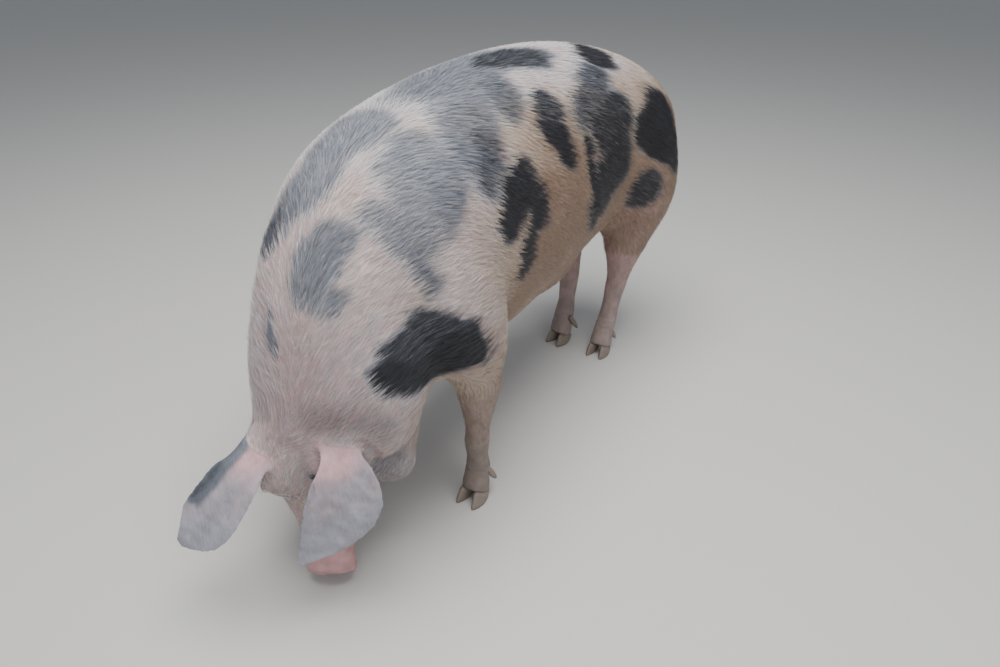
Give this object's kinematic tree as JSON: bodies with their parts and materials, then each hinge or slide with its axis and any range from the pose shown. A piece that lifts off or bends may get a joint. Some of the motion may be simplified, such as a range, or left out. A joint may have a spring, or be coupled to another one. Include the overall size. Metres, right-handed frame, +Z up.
{
  "type": "domestic pig, lop-eared sow",
  "caption": "Life-size still model of a big lop-eared spotted sow. She stands with her head lowered to feed, her body bowed a little to her left.",
  "frame": {"origin": "on the floor, under the middle of her bounding box", "axes": "+X the way her body faces, +Y her left side, +Z up"},
  "size_m": [1.5232, 0.5478, 0.8747],
  "materials": {
    "hide": "pinkish skin with black and blue-grey patches under a flat coat of white bristles",
    "ear_skin": "thin pinkish grey skin with sparse fine hair and faint veins",
    "snout_skin": "bare pink skin, slightly moist",
    "claw_horn": "dull dark horn, worn and dusty",
    "eye": "wet dark brown eye"
  },
  "bodies": {
    "root": {"trunk": "hide", "neck": "hide", "head": "hide", "snout": "snout_skin", "tail": "hide", "ear_left": "ear_skin", "ear_right": "ear_skin", "eye_left": "eye", "eye_right": "eye", "foreleg_left": "hide", "forefoot_left": "hide", "hindleg_left": "hide", "hindfoot_left": "hide", "foreleg_right": "hide", "forefoot_right": "hide", "hindleg_right": "hide", "hindfoot_right": "hide", "claw_front_left_inner": "claw_horn", "dewclaw_front_left_inner": "claw_horn", "claw_front_left_outer": "claw_horn", "dewclaw_front_left_outer": "claw_horn", "claw_front_right_inner": "claw_horn", "dewclaw_front_right_inner": "claw_horn", "claw_front_right_outer": "claw_horn", "dewclaw_front_right_outer": "claw_horn", "claw_hind_left_inner": "claw_horn", "dewclaw_hind_left_inner": "claw_horn", "claw_hind_left_outer": "claw_horn", "dewclaw_hind_left_outer": "claw_horn", "claw_hind_right_inner": "claw_horn", "dewclaw_hind_right_inner": "claw_horn", "claw_hind_right_outer": "claw_horn", "dewclaw_hind_right_outer": "claw_horn"}
  },
  "joints": []
}
